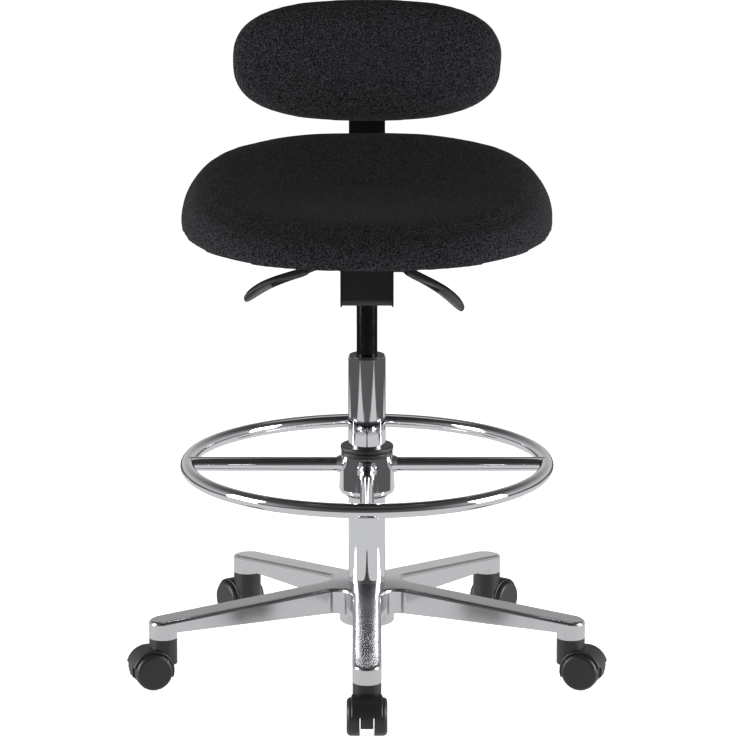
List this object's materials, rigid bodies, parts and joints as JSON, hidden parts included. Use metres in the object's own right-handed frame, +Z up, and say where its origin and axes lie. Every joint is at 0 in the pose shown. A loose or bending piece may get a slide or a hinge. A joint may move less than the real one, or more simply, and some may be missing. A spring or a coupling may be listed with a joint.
{
  "type": "drafting chair",
  "caption": "Tall drafting chair with dished seat, oval back pad, gas lift column, adjustable foot ring and star base on twin-wheel castors.",
  "frame": {"origin": "on the floor, on the vertical axis of the gas-lift column", "axes": "+Z up along the column, -Y the way the sitter faces, +X to the sitter's left"},
  "size_m": [0.6408, 0.6253, 0.871],
  "materials": {
    "polished_aluminium": "polished die casting",
    "chrome_tube": "bright chrome plate on steel tube",
    "black_nylon": "fine textured moulding",
    "black_gloss_plastic": "glossy moulding",
    "natural_acetal": "turned bearing plastic",
    "black_painted_steel": "black powder coat",
    "black_cylinder": "gloss black, ground",
    "bright_steel": "zinc plated",
    "plywood": "raw beech plywood",
    "black_fabric": "black plain weave upholstery"
  },
  "bodies": {
    "base": {"base_star": "polished_aluminium", "castor_stems": "bright_steel", "castor_collars": "black_nylon", "column_tube": "chrome_tube", "column_guide_bush": "black_nylon", "bearing_lower_race": "bright_steel"},
    "rod": {"piston_rod": "bright_steel", "piston": "natural_acetal", "bearing_balls": "bright_steel", "bearing_upper_race": "bright_steel", "rod_clip": "bright_steel"},
    "lift": {"pressure_cylinder": "black_cylinder", "rod_guide": "natural_acetal", "mechanism_housing": "black_painted_steel", "lift_socket": "black_painted_steel", "seat_pivot_pin": "bright_steel", "back_pivot_pin": "bright_steel", "lever_pins": "bright_steel"},
    "release_pin": {"release_pin": "bright_steel"},
    "height_lever": {"height_lever_rod": "black_painted_steel", "height_lever_grip": "black_gloss_plastic"},
    "tilt_lever": {"tilt_lever_rod": "black_painted_steel", "tilt_lever_grip": "black_gloss_plastic"},
    "seat": {"seat_cushion": "black_fabric", "seat_board": "plywood", "seat_under_cover": "black_nylon", "seat_plate": "black_painted_steel", "seat_screws": "bright_steel"},
    "back_arm": {"back_bar": "black_painted_steel"},
    "backrest": {"backrest_cushion": "black_fabric", "backrest_board": "plywood", "backrest_rear_cover": "black_nylon", "backrest_screws": "bright_steel", "back_bracket": "black_nylon"},
    "back_knob": {"back_knob": "black_nylon"},
    "ring_collet": {"foot_ring_collet": "black_nylon"},
    "foot_ring": {"foot_ring_hoop": "chrome_tube", "foot_ring_spokes": "chrome_tube", "foot_ring_hub": "chrome_tube", "foot_ring_lock_nut": "black_nylon"},
    "castor_1": {"castor_1_hood": "black_nylon", "castor_1_axle": "bright_steel"},
    "castor_1_wheel_a": {"castor_1_wheel_a": "black_nylon"},
    "castor_1_wheel_b": {"castor_1_wheel_b": "black_nylon"},
    "castor_2": {"castor_2_hood": "black_nylon", "castor_2_axle": "bright_steel"},
    "castor_2_wheel_a": {"castor_2_wheel_a": "black_nylon"},
    "castor_2_wheel_b": {"castor_2_wheel_b": "black_nylon"},
    "castor_3": {"castor_3_hood": "black_nylon", "castor_3_axle": "bright_steel"},
    "castor_3_wheel_a": {"castor_3_wheel_a": "black_nylon"},
    "castor_3_wheel_b": {"castor_3_wheel_b": "black_nylon"},
    "castor_4": {"castor_4_hood": "black_nylon", "castor_4_axle": "bright_steel"},
    "castor_4_wheel_a": {"castor_4_wheel_a": "black_nylon"},
    "castor_4_wheel_b": {"castor_4_wheel_b": "black_nylon"},
    "castor_5": {"castor_5_hood": "black_nylon", "castor_5_axle": "bright_steel"},
    "castor_5_wheel_a": {"castor_5_wheel_a": "black_nylon"},
    "castor_5_wheel_b": {"castor_5_wheel_b": "black_nylon"}
  },
  "joints": [
    {"name": "seat_swivel", "type": "hinge", "parent": "base", "child": "rod", "pos_m": [0, 0, 0.0773], "axis": [0, 0, 1], "continuous": true},
    {"name": "seat_height", "type": "slide", "parent": "rod", "child": "lift", "axis": [0, 0, 1], "range_m": [-0.075, 0.16]},
    {"name": "height_lever", "type": "hinge", "parent": "lift", "child": "height_lever", "pos_m": [-0.024, 0, 0.5582], "axis": [0, 1, 0], "range_deg": [0, 8], "stiffness_Nm_per_rad": 4, "springref_deg": -8.59},
    {"name": "release_pin", "type": "slide", "parent": "lift", "child": "release_pin", "axis": [0, 0, -1], "range_m": [0, 0.0045]},
    {"name": "tilt_lever", "type": "hinge", "parent": "lift", "child": "tilt_lever", "pos_m": [0.024, -0.048, 0.5582], "axis": [0, -1, 0], "range_deg": [0, 10]},
    {"name": "seat_tilt", "type": "hinge", "parent": "lift", "child": "seat", "pos_m": [0, 0.046, 0.578], "axis": [-1, 0, 0], "range_deg": [-2, 8]},
    {"name": "back_tilt", "type": "hinge", "parent": "lift", "child": "back_arm", "pos_m": [0, 0.056, 0.538], "axis": [-1, 0, 0], "range_deg": [-4, 20]},
    {"name": "back_height", "type": "slide", "parent": "back_arm", "child": "backrest", "axis": [0, 0, 1], "range_m": [-0.008, 0.05]},
    {"name": "back_knob", "type": "hinge", "parent": "backrest", "child": "back_knob", "pos_m": [0, 0.2694, 0.762], "axis": [0, 1, 0], "range_deg": [0, 330]},
    {"name": "foot_ring_height", "type": "slide", "parent": "base", "child": "ring_collet", "axis": [0, 0, 1], "range_m": [-0.112, 0.12]},
    {"name": "foot_ring_lock", "type": "hinge", "parent": "ring_collet", "child": "foot_ring", "pos_m": [0, 0, 0.2815], "axis": [0, 0, 1], "range_deg": [0, 120]},
    {"name": "castor_1_swivel", "type": "hinge", "parent": "base", "child": "castor_1", "pos_m": [0, -0.2853, 0.064], "axis": [0, 0, 1], "continuous": true},
    {"name": "castor_1_wheel_a_roll", "type": "hinge", "parent": "castor_1", "child": "castor_1_wheel_a", "pos_m": [0, -0.3033, 0.025], "axis": [1, 0, 0], "continuous": true},
    {"name": "castor_1_wheel_b_roll", "type": "hinge", "parent": "castor_1", "child": "castor_1_wheel_b", "pos_m": [0, -0.3033, 0.025], "axis": [1, 0, 0], "continuous": true},
    {"name": "castor_2_swivel", "type": "hinge", "parent": "base", "child": "castor_2", "pos_m": [0.27134, -0.08816, 0.064], "axis": [0, 0, 1], "continuous": true},
    {"name": "castor_2_wheel_a_roll", "type": "hinge", "parent": "castor_2", "child": "castor_2_wheel_a", "pos_m": [0.28846, -0.09373, 0.025], "axis": [0.309, 0.9511, 0], "continuous": true},
    {"name": "castor_2_wheel_b_roll", "type": "hinge", "parent": "castor_2", "child": "castor_2_wheel_b", "pos_m": [0.28846, -0.09373, 0.025], "axis": [0.309, 0.9511, 0], "continuous": true},
    {"name": "castor_3_swivel", "type": "hinge", "parent": "base", "child": "castor_3", "pos_m": [0.1677, 0.23081, 0.064], "axis": [0, 0, 1], "continuous": true},
    {"name": "castor_3_wheel_a_roll", "type": "hinge", "parent": "castor_3", "child": "castor_3_wheel_a", "pos_m": [0.17827, 0.24538, 0.025], "axis": [-0.809, 0.5878, 0], "continuous": true},
    {"name": "castor_3_wheel_b_roll", "type": "hinge", "parent": "castor_3", "child": "castor_3_wheel_b", "pos_m": [0.17827, 0.24538, 0.025], "axis": [-0.809, 0.5878, 0], "continuous": true},
    {"name": "castor_4_swivel", "type": "hinge", "parent": "base", "child": "castor_4", "pos_m": [-0.1677, 0.23081, 0.064], "axis": [0, 0, 1], "continuous": true},
    {"name": "castor_4_wheel_a_roll", "type": "hinge", "parent": "castor_4", "child": "castor_4_wheel_a", "pos_m": [-0.17827, 0.24538, 0.025], "axis": [-0.809, -0.5878, 0], "continuous": true},
    {"name": "castor_4_wheel_b_roll", "type": "hinge", "parent": "castor_4", "child": "castor_4_wheel_b", "pos_m": [-0.17827, 0.24538, 0.025], "axis": [-0.809, -0.5878, 0], "continuous": true},
    {"name": "castor_5_swivel", "type": "hinge", "parent": "base", "child": "castor_5", "pos_m": [-0.27134, -0.08816, 0.064], "axis": [0, 0, 1], "continuous": true},
    {"name": "castor_5_wheel_a_roll", "type": "hinge", "parent": "castor_5", "child": "castor_5_wheel_a", "pos_m": [-0.28846, -0.09373, 0.025], "axis": [0.309, -0.9511, 0], "continuous": true},
    {"name": "castor_5_wheel_b_roll", "type": "hinge", "parent": "castor_5", "child": "castor_5_wheel_b", "pos_m": [-0.28846, -0.09373, 0.025], "axis": [0.309, -0.9511, 0], "continuous": true}
  ],
  "couplings": [
    {"joint": "release_pin", "follows": "height_lever", "m_per_rad": 0.028}
  ]
}
